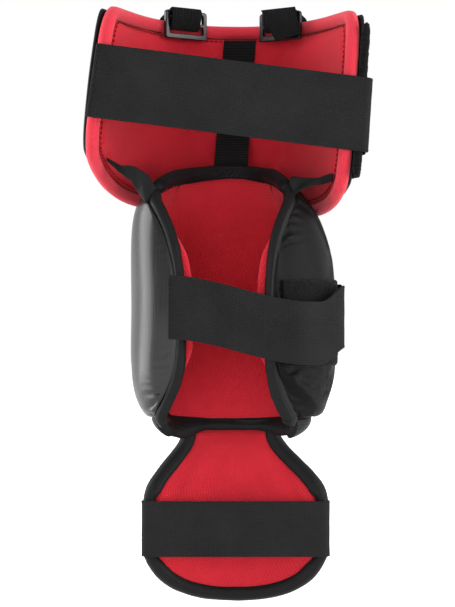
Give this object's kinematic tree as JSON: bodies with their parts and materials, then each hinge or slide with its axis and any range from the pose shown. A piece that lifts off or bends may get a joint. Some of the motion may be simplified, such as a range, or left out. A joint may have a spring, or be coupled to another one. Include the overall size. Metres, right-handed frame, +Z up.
{
  "type": "hockey goalie knee guard",
  "caption": "Ice hockey goalie knee guard: padded thigh trough, C-shaped knee cup with flexing side wings and a hinged shin flap, held on by wide elastic straps with hook-and-loop tabs.",
  "frame": {"origin": "on the axis of the leg at the height of the knee", "axes": "+Z up the leg, +Y to the protective front, so the leg side and the straps face -Y, +X to the right as seen from the leg side"},
  "size_m": [0.2026, 0.1184, 0.4319],
  "materials": {
    "red_lining": "brushed red mesh knit on thin foam",
    "red_binding": "rolled red knit edge",
    "foam": "closed-cell foam, covered",
    "black_plate": "moulded black shell",
    "black_nylon": "matte woven nylon",
    "black_vinyl": "glossy coated fabric",
    "black_binding": "folded binding tape",
    "grey_elastic": "ribbed woven elastic",
    "black_webbing": "woven webbing",
    "loop_pile": "hook and loop pile",
    "buckle_plastic": "moulded, satin"
  },
  "bodies": {
    "thigh_guard": {"centre_webbing": "black_webbing", "left_garter_tab": "black_webbing", "right_garter_tab": "black_webbing", "thigh_foam": "foam", "thigh_lining": "red_lining", "thigh_loop_panel": "loop_pile", "thigh_plate": "black_plate", "thigh_rim": "red_binding", "thigh_strap": "grey_elastic"},
    "shin_flap": {"flap_backing": "black_nylon", "flap_binding": "black_binding", "flap_foam": "foam", "flap_lining": "red_lining", "flap_strap": "grey_elastic"},
    "knee_section": {"knee_bottom_band": "black_binding", "knee_cap": "black_plate", "knee_foam": "foam", "knee_lining": "red_lining", "knee_strap": "grey_elastic", "knee_top_binding": "black_binding", "left_collar": "red_lining", "left_tie_tape": "black_webbing", "right_collar": "red_lining", "right_tie_tape": "black_webbing"},
    "knee_tab": {"knee_hook_patch": "loop_pile", "knee_hook_tab": "grey_elastic"},
    "right_wing": {"knee_loop_patch": "loop_pile", "right_rim_binding": "black_binding", "right_wing_cover": "black_nylon", "right_wing_foam": "foam", "right_wing_lining": "red_lining"},
    "left_buckle_swing": {"left_buckle": "buckle_plastic"},
    "left_wing": {"left_rim_binding": "black_binding", "left_wing_cover": "black_vinyl", "left_wing_foam": "foam", "left_wing_lining": "red_lining"},
    "right_buckle_swing": {"right_buckle": "buckle_plastic"},
    "thigh_tab": {"thigh_hook_patch": "loop_pile", "thigh_hook_tab": "grey_elastic"}
  },
  "joints": [
    {"name": "thigh_flex", "type": "hinge", "parent": "knee_section", "child": "thigh_guard", "pos_m": [0, -0.014, 0.085], "axis": [1, 0, 0], "range_deg": [0, 40], "deforming": ["centre_webbing", "left_tie_tape", "right_tie_tape"]},
    {"name": "flap_fold", "type": "hinge", "parent": "knee_section", "child": "shin_flap", "pos_m": [0, 0.021, -0.0947], "axis": [-1, 0, 0], "range_deg": [0, 60]},
    {"name": "left_wing_flex", "type": "hinge", "parent": "knee_section", "child": "left_wing", "pos_m": [-0.06526, 0.041, 0], "axis": [0, 0, -1], "range_deg": [0, 20], "stiffness_Nm_per_rad": 0.6, "deforming": ["knee_strap"]},
    {"name": "right_wing_flex", "type": "hinge", "parent": "knee_section", "child": "right_wing", "pos_m": [0.06066, 0.041, 0], "axis": [0, 0, 1], "range_deg": [0, 20], "stiffness_Nm_per_rad": 0.6, "deforming": ["knee_strap"]},
    {"name": "thigh_tab_peel", "type": "hinge", "parent": "thigh_guard", "child": "thigh_tab", "pos_m": [0.09199, -0.03778, 0.12948], "axis": [-0.065, 0, -0.9979], "range_deg": [0, 120]},
    {"name": "knee_tab_peel", "type": "hinge", "parent": "right_wing", "child": "knee_tab", "pos_m": [0.07577, 0.00303, -0.01094], "axis": [0, 0, -1], "range_deg": [0, 120]},
    {"name": "left_buckle_tilt", "type": "hinge", "parent": "thigh_guard", "child": "left_buckle_swing", "pos_m": [-0.0364, 0.03248, 0.20924], "axis": [-0.8205, -0.5716, 0], "range_deg": [0, 90]},
    {"name": "right_buckle_tilt", "type": "hinge", "parent": "thigh_guard", "child": "right_buckle_swing", "pos_m": [0.03274, 0.03391, 0.2087], "axis": [-0.8133, 0.5819, 0], "range_deg": [0, 90]}
  ]
}
